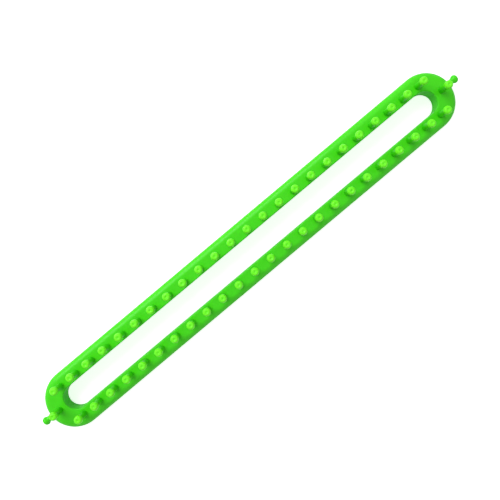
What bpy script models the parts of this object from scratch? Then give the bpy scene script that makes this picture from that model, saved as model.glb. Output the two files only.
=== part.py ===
"""Long knitting loom: a slotted ring frame with a row of pegs along each rail.

+X runs along the loom, +Y across it and +Z up. The origin is under the middle of the frame,
on the surface that the loom lies on. Lengths are in metres.
"""
import math

import bmesh
import bpy
from mathutils import Matrix, Vector

# Spacing of the pegs: with the ends it gives the loom's length.
peg_pitch = 0.017
pegs_per_rail = 24
last_peg_to_end = 0.0241

# Frame, seen from above
frame_width = 0.0505
rail_width = 0.0148
end_band = 0.0174
arc_steps = 16

# Frame, in section
frame_height = 0.014
wall = 0.002
top_plate = 0.0022
shoulder_radius = 0.0055
shoulder_steps = 4
slot_edge_radius = 0.001
channel_edge_radius = 0.0035

# Sockets and ribs under the frame's top
socket_wall = 0.0012
socket_depth = 0.0105
rib_thickness = 0.0016
rib_clearance = 0.001
gaps_between_ribs = 4

# Upright pegs
row_from_slot = 0.0048
end_peg_from_slot = 0.0069
peg_height = 0.018
shaft_radius = 0.0027
spigot_radius = 0.0020
spigot_length = 0.0090
head_radius = 0.0035
head_height = 0.0050
head_taper = 0.0016
head_crown = 0.0016
crown_radius = 0.0026
dimple_radius = 0.0011
dimple_depth = 0.0009
groove_width = 0.0016
groove_depth = 0.0009
groove_foot = 0.0015
peg_sides = 12

# Anchor pegs on the end faces
anchor_height = 0.007
anchor_reach = 0.0094
anchor_neck_radius = 0.0025
anchor_spigot_radius = 0.0018
anchor_head_radius = 0.0036
anchor_head_length = 0.0046
anchor_web = 0.002
anchor_socket_wall = 0.0012

fit_gap = 0.0003      # clearance between pieces that fit together
cut_margin = 0.001    # how far a cutter runs past what it cuts

# Sizes that follow from those above
frame_length = (pegs_per_rail - 1) * peg_pitch + 2 * last_peg_to_end
frame_end = frame_length / 2
frame_radius = frame_width / 2
slot_radius = frame_radius - rail_width
slot_end = frame_end - end_band
row_offset = slot_radius + row_from_slot
end_peg_offset = slot_end + end_peg_from_slot
bore_radius = spigot_radius + fit_gap
anchor_bore_radius = anchor_spigot_radius + fit_gap
anchor_bore_end = end_peg_offset + bore_radius + anchor_web
ceiling = frame_height - top_plate
first_peg = -(pegs_per_rail - 1) * peg_pitch / 2
peg_places = [first_peg + i * peg_pitch for i in range(pegs_per_rail)]


# ---------------------------------------------------------------- scene and materials
def clear_scene():
    for obj in list(bpy.data.objects):
        bpy.data.objects.remove(obj, do_unlink=True)


def new_collection(name):
    collection = bpy.data.collections.new(name)
    bpy.context.scene.collection.children.link(collection)
    return collection


def plastic(name, colour, roughness):
    material = bpy.data.materials.new(name)
    material.use_nodes = True
    shader = material.node_tree.nodes["Principled BSDF"]
    shader.inputs["Base Color"].default_value = (*colour, 1.0)
    shader.inputs["Roughness"].default_value = roughness
    shader.inputs["Metallic"].default_value = 0.0
    return material


def add_object(name, mesh, collection):
    obj = bpy.data.objects.new(name, mesh)
    collection.objects.link(obj)
    return obj


def add_cutter(name, mesh):
    obj = add_object(name, mesh, cutters)
    obj.hide_render = True
    obj.display_type = "WIRE"
    return obj


def evaluated_mesh(obj):
    """The object's mesh with its modifiers applied, as a new mesh."""
    bpy.context.view_layer.update()
    depsgraph = bpy.context.evaluated_depsgraph_get()
    return bpy.data.meshes.new_from_object(obj.evaluated_get(depsgraph), depsgraph=depsgraph)


# ---------------------------------------------------------------- shapes
def stadium(end, radius):
    """Points of a slot-shaped outline whose round ends reach x = -end and x = +end."""
    centre = end - radius
    points = []
    for side in (1, -1):
        for i in range(arc_steps + 1):
            angle = math.pi * (i / arc_steps - 0.5)
            points.append((side * (centre + radius * math.cos(angle)),
                           side * radius * math.sin(angle)))
    return points


def ring(name, outer, inner, bottom, top):
    """A flat ring between two outlines that have as many points, from one height to another."""
    bm = bmesh.new()
    edges = []
    for outline in (outer, inner):
        verts = [bm.verts.new((x, y, bottom)) for x, y in outline]
        edges += [bm.edges.new((verts[i - 1], verts[i])) for i in range(len(verts))]
    underside = bmesh.ops.bridge_loops(bm, edges=edges)["faces"]
    raised = bmesh.ops.extrude_face_region(bm, geom=underside, use_keep_orig=True)["geom"]
    raised_verts = [item for item in raised if isinstance(item, bmesh.types.BMVert)]
    bmesh.ops.translate(bm, verts=raised_verts, vec=(0.0, 0.0, top - bottom))
    bmesh.ops.recalc_face_normals(bm, faces=bm.faces)
    mesh = bpy.data.meshes.new(name)
    bm.to_mesh(mesh)
    bm.free()
    return mesh


def round_top_edges(obj, height, outer_radius, inner_radius):
    """Round the ring's upper edges, with one radius outside and another at the slot."""
    mesh = obj.data
    weights = mesh.attributes.new("bevel_weight_edge", "FLOAT", "EDGE")
    width = max(outer_radius, inner_radius)
    bm = bmesh.new()
    bm.from_mesh(mesh)
    layer = bm.edges.layers.float[weights.name]
    middle = (frame_radius + slot_radius) / 2
    for edge in bm.edges:
        level = all(abs(vert.co.z - height) < 0.00001 for vert in edge.verts)
        if not level or edge.calc_face_angle(0.0) < 1.0:
            continue
        centre = (edge.verts[0].co + edge.verts[1].co) / 2
        past_end = max(abs(centre.x) - (frame_end - frame_radius), 0.0)
        outside = math.hypot(past_end, centre.y) > middle
        edge[layer] = (outer_radius if outside else inner_radius) / width
    bm.to_mesh(mesh)
    bm.free()
    bevel = obj.modifiers.new("Rounded edges", "BEVEL")
    bevel.limit_method = "WEIGHT"
    bevel.width = width
    bevel.segments = shoulder_steps


def cylinders(seats, radius, bottom, top):
    """One mesh of upright cylinders, one for each peg, with their corners in line with its own."""
    bm = bmesh.new()
    for _, x, y, turn in seats:
        place = Matrix.Translation((x, y, (bottom + top) / 2))
        corner = Matrix.Rotation(turn + math.pi / 2, 4, "Z")
        bmesh.ops.create_cone(bm, cap_ends=True, segments=peg_sides, radius1=radius,
                              radius2=radius, depth=top - bottom, matrix=place @ corner)
    mesh = bpy.data.meshes.new("cylinders")
    bm.to_mesh(mesh)
    bm.free()
    return mesh


def end_cylinders(radius, inner, outer):
    """One mesh of two level cylinders, one in each end of the loom."""
    bm = bmesh.new()
    for side in (1, -1):
        centre = Matrix.Translation((side * (inner + outer) / 2, 0.0, anchor_height))
        turn = Matrix.Rotation(math.pi / 2, 4, "Y")
        bmesh.ops.create_cone(bm, cap_ends=True, segments=peg_sides, radius1=radius,
                              radius2=radius, depth=outer - inner, matrix=centre @ turn)
    mesh = bpy.data.meshes.new("end cylinders")
    bm.to_mesh(mesh)
    bm.free()
    return mesh


def turned_mesh(name, profile):
    """A turned solid from (radius, height) points that run from its top to its bottom."""
    mesh = bpy.data.meshes.new(name)
    vertices = [(radius, 0.0, height) for radius, height in profile]
    edges = [(i, i + 1) for i in range(len(profile) - 1)]
    mesh.from_pydata(vertices, edges, [])
    obj = add_cutter(name, mesh)
    screw = obj.modifiers.new("Turn", "SCREW")
    screw.axis = "Z"
    screw.angle = math.tau
    screw.steps = peg_sides
    screw.render_steps = peg_sides
    screw.use_merge_vertices = True
    screw.merge_threshold = 0.00001
    return obj


def boolean(obj, other, operation):
    modifier = obj.modifiers.new(other.name, "BOOLEAN")
    modifier.object = other
    modifier.operation = operation
    modifier.solver = "EXACT"


def smooth(mesh):
    mesh.shade_smooth()
    mesh.set_sharp_from_angle(angle=math.radians(40))


# ---------------------------------------------------------------- frame
def peg_seats():
    """Each upright peg's name, place and turn: every groove faces outwards."""
    seats = []
    for i, x in enumerate(peg_places, start=1):
        seats.append((f"peg_front_{i:02d}", x, -row_offset, 0.0))
        seats.append((f"peg_back_{i:02d}", x, row_offset, math.pi))
    seats.append(("peg_end_right", end_peg_offset, 0.0, math.pi / 2))
    seats.append(("peg_end_left", -end_peg_offset, 0.0, -math.pi / 2))
    return seats


def rib_mesh(top):
    """Cross ribs from wall to wall of each rail, midway between two pegs."""
    inner = slot_radius
    outer = frame_radius
    size = Vector((rib_thickness, outer - inner, top - rib_clearance, 1.0))
    bm = bmesh.new()
    for i in range(gaps_between_ribs, pegs_per_rail, gaps_between_ribs):
        for side in (-1, 1):
            x = peg_places[i] - peg_pitch / 2
            centre = Matrix.Translation((x, side * (inner + outer) / 2, (top + rib_clearance) / 2))
            bmesh.ops.create_cube(bm, size=1.0, matrix=centre @ Matrix.Diagonal(size))
    mesh = bpy.data.meshes.new("ribs")
    bm.to_mesh(mesh)
    bm.free()
    return mesh


def make_channel(seats):
    """The hollow under the frame's top, which goes round the sockets and stops at the ribs."""
    outer = stadium(frame_end - wall, frame_radius - wall)
    inner = stadium(slot_end + wall, slot_radius + wall)
    channel = add_cutter("channel", ring("hollow", outer, inner, -cut_margin, ceiling))
    round_top_edges(channel, ceiling, channel_edge_radius, 0.0)
    top = ceiling + cut_margin
    sockets = cylinders(seats, bore_radius + socket_wall, frame_height - socket_depth, top)
    boolean(channel, add_cutter("sockets", sockets), "DIFFERENCE")
    boolean(channel, add_cutter("ribs", rib_mesh(top)), "DIFFERENCE")
    anchor_sockets = end_cylinders(anchor_bore_radius + anchor_socket_wall,
                                   end_peg_offset + bore_radius, frame_end)
    boolean(channel, add_cutter("anchor_sockets", anchor_sockets), "DIFFERENCE")
    return channel


def make_frame(seats, material):
    """A moulded ring, open underneath, with a socket for each peg."""
    outer = stadium(frame_end, frame_radius)
    inner = stadium(slot_end, slot_radius)
    frame = add_object("frame", ring("ring", outer, inner, 0.0, frame_height), parts)
    frame.data.materials.append(material)
    round_top_edges(frame, frame_height, shoulder_radius, slot_edge_radius)
    boolean(frame, make_channel(seats), "DIFFERENCE")
    bore_foot = frame_height - socket_depth - cut_margin
    bores = cylinders(seats, bore_radius, bore_foot, frame_height + cut_margin)
    boolean(frame, add_cutter("bores", bores), "DIFFERENCE")
    anchor_bores = end_cylinders(anchor_bore_radius, anchor_bore_end, frame_end + cut_margin)
    boolean(frame, add_cutter("anchor_bores", anchor_bores), "DIFFERENCE")
    return frame


# ---------------------------------------------------------------- pegs
def peg_mesh(material):
    """A peg that stands on z = 0, with its spigot below and its groove facing -Y."""
    head_foot = peg_height - head_height
    profile = [(0.0, peg_height - dimple_depth), (dimple_radius, peg_height),
               (crown_radius, peg_height), (head_radius, peg_height - head_crown),
               (head_radius, head_foot + head_taper), (shaft_radius, head_foot),
               (shaft_radius, 0.0), (spigot_radius, 0.0),
               (spigot_radius, -spigot_length), (0.0, -spigot_length)]
    peg = turned_mesh("peg", profile)
    bm = bmesh.new()
    size = Vector((groove_width, 2 * groove_depth, head_foot - groove_foot, 1.0))
    centre = Matrix.Translation((0.0, -shaft_radius, (head_foot + groove_foot) / 2))
    bmesh.ops.create_cube(bm, size=1.0, matrix=centre @ Matrix.Diagonal(size))
    groove = bpy.data.meshes.new("groove")
    bm.to_mesh(groove)
    bm.free()
    boolean(peg, add_cutter("groove", groove), "DIFFERENCE")
    mesh = evaluated_mesh(peg)
    bpy.data.objects.remove(peg, do_unlink=True)
    mesh.materials.append(material)
    smooth(mesh)
    return mesh


def make_pegs(seats, material):
    mesh = peg_mesh(material)
    for name, x, y, turn in seats:
        peg = add_object(name, mesh, parts)
        peg.location = (x, y, frame_height + fit_gap)
        peg.rotation_euler.z = turn
        peg.parent = loom


def make_anchor_pegs(material):
    """Short knobs on the end faces, which the yarn's tail is tied to."""
    spigot_end = -(frame_end - anchor_bore_end)
    head_foot = anchor_reach - anchor_head_length
    profile = [(0.0, anchor_reach), (crown_radius, anchor_reach),
               (anchor_head_radius, anchor_reach - head_crown),
               (anchor_head_radius, head_foot + head_taper), (anchor_neck_radius, head_foot),
               (anchor_neck_radius, fit_gap), (anchor_spigot_radius, fit_gap),
               (anchor_spigot_radius, spigot_end + fit_gap), (0.0, spigot_end + fit_gap)]
    knob = turned_mesh("knob", profile)
    mesh = evaluated_mesh(knob)
    bpy.data.objects.remove(knob, do_unlink=True)
    mesh.materials.append(material)
    smooth(mesh)
    for side, name in ((1, "anchor_peg_right"), (-1, "anchor_peg_left")):
        anchor = add_object(name, mesh, parts)
        anchor.location = (side * frame_end, 0.0, anchor_height)
        anchor.rotation_euler.y = side * math.pi / 2
        anchor.parent = loom


clear_scene()
parts = new_collection("knitting_loom")
cutters = new_collection("cutters")
loom = add_object("loom", None, parts)
all_seats = peg_seats()
frame = make_frame(all_seats, plastic("frame plastic", (0.042, 0.591, 0.011), 0.35))
frame.parent = loom
make_pegs(all_seats, plastic("peg plastic", (0.060, 0.680, 0.018), 0.30))
make_anchor_pegs(plastic("anchor plastic", (0.055, 0.650, 0.015), 0.30))
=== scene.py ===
"""Long knitting loom: a moulded ring frame, upright pegs all round, an anchor peg at each end."""
import math

import bmesh
import bpy
from mathutils import Matrix, Vector


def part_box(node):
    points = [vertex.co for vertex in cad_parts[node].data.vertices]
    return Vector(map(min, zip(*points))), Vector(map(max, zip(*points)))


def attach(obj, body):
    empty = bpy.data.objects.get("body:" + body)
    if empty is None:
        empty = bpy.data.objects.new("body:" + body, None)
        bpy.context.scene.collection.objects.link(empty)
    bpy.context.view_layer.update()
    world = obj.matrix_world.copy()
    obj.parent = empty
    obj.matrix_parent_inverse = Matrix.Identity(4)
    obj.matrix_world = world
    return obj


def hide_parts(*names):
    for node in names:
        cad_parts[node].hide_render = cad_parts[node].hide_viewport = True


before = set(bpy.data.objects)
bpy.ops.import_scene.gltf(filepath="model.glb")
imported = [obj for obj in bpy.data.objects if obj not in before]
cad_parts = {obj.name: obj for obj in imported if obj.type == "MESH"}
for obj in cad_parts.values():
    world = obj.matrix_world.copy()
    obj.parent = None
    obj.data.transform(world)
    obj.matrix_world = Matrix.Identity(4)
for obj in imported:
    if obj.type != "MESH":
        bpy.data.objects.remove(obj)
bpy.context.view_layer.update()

MM = 0.001
scene = bpy.context.scene
scene.view_settings.view_transform = "Standard"


# ------------------------------------------------------------------------------ ring frame
# The frame is one injection moulding in green ABS, open underneath like a tray, with walls of
# 2 mm. Its top is flat under the pegs and falls away outside in a broad round shoulder. Inside
# it has a round socket under each peg and a few cross ribs, which keep the long rails straight.

frame_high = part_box("frame")[1]
frame_end = frame_high.x
frame_radius = frame_high.y
frame_top = frame_high.z
rail_width = 14.8 * MM
end_band = 17.4 * MM
slot_radius = frame_radius - rail_width
slot_end = frame_end - end_band
wall = 2.0 * MM
shoulder = 5.5 * MM
slot_edge = 1.0 * MM
rim_edge = 0.35 * MM
arc_steps = 48

bore_radius = 2.3 * MM
socket_radius = 3.5 * MM
socket_foot = 3.5 * MM
socket_edge = 0.3 * MM
rib_thickness = 1.6 * MM
rib_foot = 1.0 * MM
gaps_between_ribs = 4
anchor_bore_radius = 2.1 * MM
anchor_socket_radius = 3.3 * MM
anchor_web = 2.0 * MM
embed = wall / 2
round_sides = 40
same_height = 0.01 * MM
crease = 1.0


def box_centre(node):
    low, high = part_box(node)
    return (low + high) / 2


peg_nodes = sorted(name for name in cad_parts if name.startswith("peg_"))
anchor_nodes = sorted(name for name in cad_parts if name.startswith("anchor_peg_"))
anchor_height = box_centre(anchor_nodes[0]).z
end_peg_offset = box_centre("peg_end_right").x
front_row = [box_centre(name).x for name in peg_nodes if name.startswith("peg_front_")]


def new_mesh(name, bm):
    mesh = bpy.data.meshes.new(name)
    bm.to_mesh(mesh)
    bm.free()
    return mesh


def new_object(name, mesh):
    piece = bpy.data.objects.new(name, mesh)
    scene.collection.objects.link(piece)
    return piece


def apply_modifiers(piece):
    bpy.context.view_layer.update()
    graph = bpy.context.evaluated_depsgraph_get()
    finished = bpy.data.meshes.new_from_object(piece.evaluated_get(graph), depsgraph=graph)
    piece.modifiers.clear()
    piece.data = finished


def combine(piece, bm, operation):
    """Join a tool mesh to the piece, or cut it away, for good."""
    tool = new_object("tool", new_mesh("tool", bm))
    modifier = piece.modifiers.new("combine", "BOOLEAN")
    modifier.object = tool
    modifier.operation = operation
    modifier.solver = "EXACT"
    apply_modifiers(piece)
    bpy.data.objects.remove(tool, do_unlink=True)


def bevel(bm, edges, width, segments):
    bmesh.ops.bevel(bm, geom=edges, offset=width, offset_type="OFFSET", segments=segments,
                    profile=0.5, affect="EDGES", material=-1, clamp_overlap=False)


def level_edges(bm, height, wanted):
    """The edges at one height whose middle passes the test."""
    edges = []
    for edge in bm.edges:
        a, b = (vert.co for vert in edge.verts)
        level = abs(a.z - height) < same_height and abs(b.z - height) < same_height
        if level and wanted((a + b) / 2):
            edges.append(edge)
    return edges


def distance_out(point):
    """How far a point is from the loom's long middle line."""
    past = max(abs(point.x) - (frame_end - frame_radius), 0.0)
    return math.hypot(past, point.y)


def oval(bm, end, radius, height):
    """A closed loop of edges: two straight sides joined by half circles at x = -end and +end."""
    centre = end - radius
    first = bm.verts.new((centre, -radius, height))
    last = first
    for side in (1, -1):
        arc = bmesh.ops.spin(bm, geom=[last], cent=(side * centre, 0.0, height), axis=(0, 0, 1),
                             angle=math.pi, steps=arc_steps)
        last = arc["geom_last"][0]
        if side == 1:
            run = bmesh.ops.extrude_vert_indiv(bm, verts=[last])
            last = run["verts"][0]
            last.co.x = -centre
    bm.edges.new((last, first))


def frame_shell():
    """The moulding's skin, drawn as its top face and two skirts, then given its thickness."""
    middle = (slot_radius + frame_radius) / 2
    bm = bmesh.new()
    oval(bm, frame_end, frame_radius, frame_top)
    oval(bm, slot_end, slot_radius, frame_top)
    bmesh.ops.bridge_loops(bm, edges=bm.edges[:])
    outline = [edge for edge in bm.edges if edge.is_boundary]
    skirts = bmesh.ops.extrude_edge_only(bm, edges=outline)["geom"]
    foot = [item for item in skirts if isinstance(item, bmesh.types.BMVert)]
    bmesh.ops.translate(bm, verts=foot, vec=(0.0, 0.0, -frame_top))
    bmesh.ops.recalc_face_normals(bm, faces=bm.faces[:])
    outer = [edge for edge in level_edges(bm, frame_top, lambda p: distance_out(p) > middle)
             if edge.calc_face_angle(0.0) > crease]
    bevel(bm, outer, shoulder, 12)
    bmesh.ops.solidify(bm, geom=bm.faces[:], thickness=wall)
    inner = [edge for edge in level_edges(bm, frame_top, lambda p: distance_out(p) < middle)
             if edge.calc_face_angle(0.0) > crease]
    bevel(bm, inner, slot_edge, 5)
    rim = [edge for edge in level_edges(bm, 0.0, lambda p: True)
           if abs(distance_out(edge.verts[0].co) - distance_out(edge.verts[1].co)) < wall * 0.75]
    bevel(bm, rim, rim_edge, 3)
    return bm


def upright_rods(radius, bottom, top, edge=0.0):
    """One round rod at each upright peg, with its lower rim rounded if edge is given."""
    bm = bmesh.new()
    for name in peg_nodes:
        place = box_centre(name)
        place.z = (bottom + top) / 2
        bmesh.ops.create_cone(bm, cap_ends=True, segments=round_sides, radius1=radius,
                              radius2=radius, depth=top - bottom,
                              matrix=Matrix.Translation(place))
    if edge:
        bevel(bm, level_edges(bm, bottom, lambda p: True), edge, 3)
    return bm


def level_rods(radius, inner, outer):
    """One rod along X in each end of the loom, at the anchor pegs' height."""
    bm = bmesh.new()
    turn = Matrix.Rotation(math.pi / 2, 4, "Y")
    for side in (1, -1):
        place = Matrix.Translation((side * (inner + outer) / 2, 0.0, anchor_height))
        bmesh.ops.create_cone(bm, cap_ends=True, segments=round_sides, radius1=radius,
                              radius2=radius, depth=outer - inner, matrix=place @ turn)
    return bm


def cross_ribs():
    """Ribs across each rail, midway between two pegs, rooted in its walls and its top."""
    inner = slot_radius + embed
    outer = frame_radius - embed
    top = frame_top - embed
    size = Vector((rib_thickness, outer - inner, top - rib_foot, 1.0))
    bm = bmesh.new()
    for i in range(gaps_between_ribs, len(front_row), gaps_between_ribs):
        for side in (1, -1):
            x = (front_row[i - 1] + front_row[i]) / 2
            place = Matrix.Translation((x, side * (inner + outer) / 2, (rib_foot + top) / 2))
            bmesh.ops.create_cube(bm, size=1.0, matrix=place @ Matrix.Diagonal(size))
    upper = level_edges(bm, top, lambda p: abs(p.y) > outer - same_height)
    bevel(bm, upper, shoulder - embed, 8)
    return bm


def shade(piece, angle):
    """Smooth shading that keeps the flats flat and the corners crisp."""
    piece.data.shade_smooth()
    piece.data.set_sharp_from_angle(angle=math.radians(angle))
    normals = piece.modifiers.new("flats", "WEIGHTED_NORMAL")
    normals.weight = 100
    normals.keep_sharp = True


ring_frame = new_object("ring_frame", new_mesh("ring_frame", frame_shell()))
combine(ring_frame, cross_ribs(), "UNION")
combine(ring_frame, upright_rods(socket_radius, socket_foot, frame_top - embed, socket_edge),
        "UNION")
combine(ring_frame, level_rods(anchor_socket_radius, end_peg_offset + bore_radius,
                               frame_end - embed), "UNION")
combine(ring_frame, upright_rods(bore_radius, 0.0, frame_top + wall), "DIFFERENCE")
combine(ring_frame, level_rods(anchor_bore_radius, end_peg_offset + bore_radius + anchor_web,
                               frame_end + wall), "DIFFERENCE")
shade(ring_frame, 35)


def colour(code):
    """The linear colour of an sRGB hex code."""
    parts = [int(code[i:i + 2], 16) / 255 for i in (0, 2, 4)]
    return [((c + 0.055) / 1.055) ** 2.4 if c > 0.04045 else c / 12.92 for c in parts] + [1.0]


def add(material, kind, inputs=None, **settings):
    """One shader node with its settings. An input is a value or another node's output."""
    node = material.node_tree.nodes.new("ShaderNode" + kind)
    for name, value in settings.items():
        setattr(node, name, value)
    for name, value in (inputs or {}).items():
        if isinstance(value, bpy.types.NodeSocket):
            material.node_tree.links.new(value, node.inputs[name])
        else:
            node.inputs[name].default_value = value
    return node


def new_material(name):
    material = bpy.data.materials.new(name)
    material.use_nodes = True
    material.node_tree.nodes.clear()
    return material


def pigment(material, coords, base, pale):
    """The colour of the melt, which swirls faintly over 25 mm between two close greens."""
    swirl = add(material, "TexNoise", {"Vector": coords, "Scale": 1 / (25 * MM), "Detail": 2.0,
                                       "Distortion": 0.6})
    tint = add(material, "Mix", {0: swirl.outputs["Fac"], 6: colour(base), 7: colour(pale)},
               data_type="RGBA")
    return tint.outputs[2]


peel_size = 1.1 * MM
peel_depth = 0.02 * MM
scuff_spacing = 0.7 * MM
scuff_depth = 0.01 * MM
scuff_stretch = 0.05
worn_patch = 8 * MM
light_sinks = 2.0 * MM


def moulded_abs(material, coords, tint, gloss, glow):
    """The finish of moulded ABS: an even colour with a soft gloss. The polished tool leaves a
    fine orange peel, and flow and rubbing leave faint lines along the loom. Handling has dulled
    it in patches, and light sinks a millimetre or two into it."""
    worn = add(material, "TexNoise", {"Vector": coords, "Scale": 1 / worn_patch, "Detail": 3.0})
    rough = add(material, "MapRange", {"Value": worn.outputs["Fac"], "From Min": 0.3,
                                       "From Max": 0.7, "To Min": gloss - 0.04,
                                       "To Max": gloss + 0.06})
    peel = add(material, "TexNoise", {"Vector": coords, "Scale": 1 / peel_size, "Detail": 1.0})
    skin = add(material, "Bump", {"Height": peel.outputs["Fac"], "Strength": 0.25,
                                  "Distance": peel_depth})
    along = add(material, "Mapping", {"Vector": coords, "Scale": (scuff_stretch, 1.0, 1.0)})
    scuffs = add(material, "TexNoise", {"Vector": along.outputs["Vector"],
                                        "Scale": 1 / scuff_spacing, "Detail": 2.0})
    bump = add(material, "Bump", {"Height": scuffs.outputs["Fac"], "Strength": 0.2,
                                  "Distance": scuff_depth, "Normal": skin.outputs["Normal"]})
    shader = add(material, "BsdfPrincipled", {
        "Base Color": tint, "Roughness": rough.outputs["Result"],
        "Normal": bump.outputs["Normal"], "IOR": 1.53, "Specular IOR Level": 0.16,
        "Coat Weight": 0.14, "Coat Roughness": 0.16, "Subsurface Weight": glow,
        "Subsurface Radius": (0.6, 1.0, 0.3), "Subsurface Scale": light_sinks})
    add(material, "OutputMaterial", {"Surface": shader.outputs["BSDF"]})


# Green ABS, straight from a polished tool: one bright green all through, with a soft sheen.
frame_plastic = new_material("abs_injection_moulded_green")
frame_coords = add(frame_plastic, "TexCoord").outputs["Object"]
green = pigment(frame_plastic, frame_coords, "40D40B", "49DA12")
moulded_abs(frame_plastic, frame_coords, green, 0.42, 0.15)
ring_frame.data.materials.clear()
ring_frame.data.materials.append(frame_plastic)
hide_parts("frame")
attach(ring_frame, "root")


# ---------------------------------------------------------------------------- upright pegs
# Fifty pegs in green ABS, each moulded on its own and pressed by its spigot
# into a socket of the frame. A peg has a plain shaft, a head like a flattened ball that keeps
# the yarn on, and a groove down its outer side for the point of the knitting hook. The head
# carries painted light and the foot of the shaft painted shade.

peg_height = 18.0 * MM
shaft_radius = 2.7 * MM
spigot_radius = 2.0 * MM
spigot_length = 9.0 * MM
head_radius = 3.5 * MM
head_height = 5.0 * MM
head_taper = 1.6 * MM
head_crown = 1.6 * MM
crown_radius = 2.6 * MM
dimple_radius = 1.1 * MM
dimple_depth = 0.9 * MM
groove_width = 1.6 * MM
groove_depth = 0.9 * MM
groove_foot = 1.5 * MM
crown_round = 0.75 * MM
taper_round = 0.6 * MM
neck_round = 0.4 * MM
dimple_round = 0.45 * MM
on_ring = 0.02 * MM
spin_steps = 40


def turned(profile, rounds):
    """A round solid from its half outline, radius and height, with chosen corners rounded."""
    bm = bmesh.new()
    verts = [bm.verts.new((radius, 0.0, height)) for radius, height in profile]
    edges = [bm.edges.new(pair) for pair in zip(verts, verts[1:])]
    bmesh.ops.spin(bm, geom=verts + edges, cent=(0.0, 0.0, 0.0), axis=(0.0, 0.0, 1.0),
                   angle=math.tau, steps=spin_steps, use_merge=True)
    bmesh.ops.remove_doubles(bm, verts=bm.verts[:], dist=1e-6)
    bmesh.ops.recalc_face_normals(bm, faces=bm.faces[:])
    for radius, height, width, segments in rounds:
        ring = level_edges(bm, height, lambda p: abs(math.hypot(p.x, p.y) - radius) < on_ring)
        bevel(bm, ring, width, segments)
    return bm


def peg_body():
    """A peg that stands on z = 0, with its spigot below."""
    head_foot = peg_height - head_height
    profile = [(0.0, peg_height - dimple_depth), (dimple_radius, peg_height),
               (crown_radius, peg_height), (head_radius, peg_height - head_crown),
               (head_radius, head_foot + head_taper), (shaft_radius, head_foot),
               (shaft_radius, 0.0), (spigot_radius, 0.0),
               (spigot_radius, -spigot_length), (0.0, -spigot_length)]
    rounds = [(dimple_radius, peg_height, dimple_round, 4),
              (crown_radius, peg_height, crown_round, 5),
              (head_radius, peg_height - head_crown, crown_round, 5),
              (head_radius, head_foot + head_taper, taper_round, 4),
              (shaft_radius, head_foot, neck_round, 3),
              (spigot_radius, -spigot_length, neck_round, 2)]
    return turned(profile, rounds)


def hook_groove():
    """A round-ended bar down the peg's -Y side, which the groove is cut with."""
    radius = groove_width / 2
    top = peg_height - head_height
    away = groove_depth - shaft_radius - radius
    bm = bmesh.new()
    place = Matrix.Translation((0.0, away, (groove_foot + top) / 2))
    bmesh.ops.create_cone(bm, cap_ends=True, segments=24, radius1=radius, radius2=radius,
                          depth=top - groove_foot, matrix=place)
    ends = level_edges(bm, groove_foot, lambda p: True) + level_edges(bm, top, lambda p: True)
    bevel(bm, ends, radius * 0.9, 4)
    return bm


pattern = new_object("peg", new_mesh("peg", peg_body()))
combine(pattern, hook_groove(), "DIFFERENCE")

# The same green ABS as the frame, whose own colour shows at the neck. The head is painted a paler
# yellow-green as painted light, and the slim shaft a deeper green towards its foot as painted
# shade.
peg_plastic = new_material("abs_moulded_green_painted_light_and_shade")
peg_coords = add(peg_plastic, "TexCoord").outputs["Object"]
foot_painted_shade_green = pigment(peg_plastic, peg_coords, "22BE00", "28C304")
neck_green = pigment(peg_plastic, peg_coords, "44D208", "4AD60E")
head_painted_light_green = pigment(peg_plastic, peg_coords, "6DF621", "74F827")
peg_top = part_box("peg_front_01")[1].z
neck = peg_top - 6.0 * MM
crown_starts = peg_top - 5.0 * MM
crown_full = peg_top - 1.5 * MM
# Painted shade darkens the shaft from the neck down to its foot, and painted light turns the head
# yellow-green towards its top.
height = add(peg_plastic, "SeparateXYZ", {"Vector": peg_coords}).outputs["Z"]
shade_to_foot = add(peg_plastic, "MapRange", {"Value": height, "From Min": frame_top, "From Max": neck})
painted_light_mask = add(peg_plastic, "MapRange", {"Value": height, "From Min": crown_starts,
                                      "From Max": crown_full}, interpolation_type="SMOOTHSTEP")
shaft = add(peg_plastic, "Mix", {0: shade_to_foot.outputs["Result"], 6: foot_painted_shade_green, 7: neck_green},
            data_type="RGBA")
painted_light_and_shade = add(peg_plastic, "Mix", {0: painted_light_mask.outputs["Result"], 6: shaft.outputs[2], 7: head_painted_light_green},
           data_type="RGBA")
moulded_abs(peg_plastic, peg_coords, painted_light_and_shade.outputs[2], 0.40, 0.2)
for name in peg_nodes:
    centre = box_centre(name)
    turn = 0.0 if centre.y < 0 else -math.pi
    if abs(centre.y) < 1 * MM:
        turn = math.pi / 2 if centre.x > 0 else -math.pi / 2
    seat = Matrix.Translation((centre.x, centre.y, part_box(name)[1].z - peg_height))
    mesh = pattern.data.copy()
    mesh.transform(seat @ Matrix.Rotation(turn, 4, "Z"))
    mesh.materials.clear()
    mesh.materials.append(peg_plastic)
    peg = new_object(name + "_turned", mesh)
    shade(peg, 40)
    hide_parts(name)
    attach(peg, "root")
bpy.data.objects.remove(pattern, do_unlink=True)


# ----------------------------------------------------------------------------- anchor pegs
# A short round-headed knob on each end face, in the same ABS as the frame, pressed into a
# level socket. The yarn's tail is tied to it before the first row is wound on.

anchor_reach = 9.4 * MM
anchor_neck_radius = 2.5 * MM
anchor_spigot_radius = 1.8 * MM
anchor_head_radius = 3.6 * MM
anchor_head_length = 4.6 * MM
anchor_crown = 1.6 * MM
fit_gap = 0.3 * MM


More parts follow.
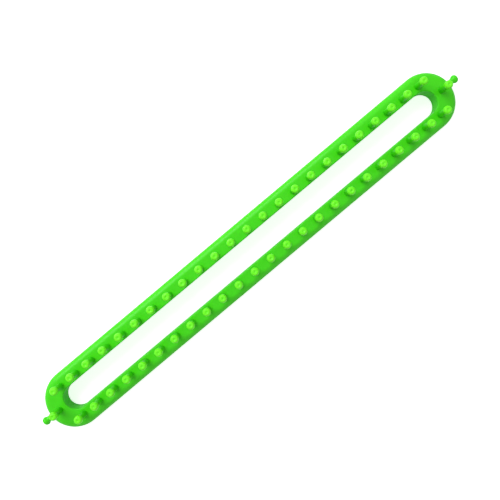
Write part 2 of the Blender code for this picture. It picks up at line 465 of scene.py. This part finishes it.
def anchor_body():
    """An anchor peg that stands out along +Z from its seat at z = 0."""
    tail = end_peg_offset + bore_radius + anchor_web - frame_end + fit_gap
    head_foot = anchor_reach - anchor_head_length
    profile = [(0.0, anchor_reach), (crown_radius, anchor_reach),
               (anchor_head_radius, anchor_reach - anchor_crown),
               (anchor_head_radius, head_foot + head_taper), (anchor_neck_radius, head_foot),
               (anchor_neck_radius, 0.0), (anchor_spigot_radius, 0.0),
               (anchor_spigot_radius, tail), (0.0, tail)]
    rounds = [(crown_radius, anchor_reach, crown_round, 5),
              (anchor_head_radius, anchor_reach - anchor_crown, crown_round, 5),
              (anchor_head_radius, head_foot + head_taper, taper_round, 4),
              (anchor_neck_radius, head_foot, neck_round, 3)]
    return turned(profile, rounds)


knob = new_mesh("anchor_peg", anchor_body())
for name in anchor_nodes:
    side = 1 if box_centre(name).x > 0 else -1
    seat = Matrix.Translation((side * frame_end, 0.0, anchor_height))
    mesh = knob.copy()
    mesh.transform(seat @ Matrix.Rotation(side * math.pi / 2, 4, "Y"))
    mesh.materials.append(frame_plastic)
    anchor = new_object(name + "_turned", mesh)
    shade(anchor, 40)
    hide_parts(name)
    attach(anchor, "root")


# --------------------------------------------------------------------------- floor and air
# A sheet of matt white card that sweeps away on all sides, under a pale, even studio. The
# card and the air look white to the camera, and the loom still casts its soft shadow.

floor_size = 4.0
floor_drop = 0.05 * MM
tooth_size = 0.6 * MM
tooth_depth = 0.02 * MM
card_lift = 0.71
card_in_gloss = 0.25
horizon = 0.25
zenith = 0.62


def seen_directly(material, gloss_share):
    """1 where the camera looks, straight or through a clear piece, and a share of it in gloss."""
    ray = add(material, "LightPath").outputs
    direct = add(material, "Math", {0: ray["Is Camera Ray"], 1: ray["Is Transmission Ray"]},
                 operation="MAXIMUM")
    mirrored = add(material, "Math", {0: ray["Is Glossy Ray"], 1: gloss_share},
                   operation="MULTIPLY")
    seen = add(material, "Math", {0: direct.outputs[0], 1: mirrored.outputs[0]},
               operation="MAXIMUM")
    return seen.outputs[0]


def white_card():
    """Matt white card: no gloss, and a faint tooth."""
    material = new_material("card_matt_white")
    coords = add(material, "TexCoord").outputs["Object"]
    tooth = add(material, "TexNoise", {"Vector": coords, "Scale": 1 / tooth_size})
    bump = add(material, "Bump", {"Height": tooth.outputs["Fac"], "Strength": 0.1,
                                  "Distance": tooth_depth})
    shader = add(material, "BsdfPrincipled", {
        "Base Color": colour("E6E6E6"), "Roughness": 0.9, "Normal": bump.outputs["Normal"],
        "Specular IOR Level": 0.1})
    lift = add(material, "Math", {0: seen_directly(material, card_in_gloss), 1: card_lift},
               operation="MULTIPLY")
    light = add(material, "Emission", {"Strength": lift.outputs[0]})
    both = add(material, "AddShader", {0: shader.outputs["BSDF"], 1: light.outputs["Emission"]})
    add(material, "OutputMaterial", {"Surface": both.outputs["Shader"]})
    return material


bm = bmesh.new()
bmesh.ops.create_grid(bm, x_segments=4, y_segments=4, size=floor_size / 2)
bmesh.ops.translate(bm, verts=bm.verts[:], vec=(0.0, 0.0, -floor_drop))
floor = new_object("floor", new_mesh("floor", bm))
floor.data.materials.append(white_card())

world = bpy.data.worlds.new("studio_air")
scene.world = world
world.use_nodes = True
world.node_tree.nodes.clear()
direction = add(world, "TexCoord").outputs["Generated"]
rising = add(world, "SeparateXYZ", {"Vector": direction}).outputs["Z"]
dome = add(world, "MapRange", {"Value": rising, "To Min": horizon, "To Max": zenith})
level = add(world, "Mix", {0: seen_directly(world, 1.0), 2: dome.outputs["Result"], 3: 1.0})
air = add(world, "Background", {"Color": colour("FFFFFF"), "Strength": level.outputs[0]})
add(world, "OutputWorld", {"Surface": air.outputs["Background"]})


# ---------------------------------------------------------------------------------- lights
# One broad softbox stands behind the back rail, a little towards the left end, and a weak one
# in front lifts the shaded sides.

key_place = (-0.25, 1.50, 1.30)
key_size = (1.8, 1.2)
key_watts = 36.5
fill_place = (0.30, -1.60, 0.55)
fill_size = (1.6, 0.8)
fill_watts = 2.5


def softbox(name, place, size, watts):
    """A rectangular lamp that faces the middle of the loom."""
    lamp = bpy.data.lights.new(name, "AREA")
    lamp.shape = "RECTANGLE"
    lamp.size, lamp.size_y = size
    lamp.energy = watts
    holder = bpy.data.objects.new(name, lamp)
    scene.collection.objects.link(holder)
    holder.location = place
    holder.rotation_euler = (-Vector(place)).to_track_quat("-Z", "Y").to_euler()


softbox("key_softbox", key_place, key_size, key_watts)
softbox("fill_softbox", fill_place, fill_size, fill_watts)


# ---------------------------------------------------------------------------------- camera
# The camera looks almost straight down from 0.45 m above the frame, turned so that the loom
# lies across the picture from corner to corner.

camera_height = 0.450
camera_forward = 0.0115
camera_turn = math.radians(39.98)
aim = Vector((-0.3 * MM, 0.4 * MM, frame_top))
lens = bpy.data.cameras.new("camera")
lens.sensor_width = 36.0
lens.lens = 38.59
eye = aim + Vector((0.0, camera_forward, camera_height))
look = (aim - eye).normalized()
right = look.cross(Vector((math.sin(camera_turn), math.cos(camera_turn), 0.0))).normalized()
up = right.cross(look)
camera = bpy.data.objects.new("camera", lens)
scene.collection.objects.link(camera)
camera.matrix_world = Matrix.Translation(eye) @ Matrix((right, up, -look)).transposed().to_4x4()
scene.camera = camera
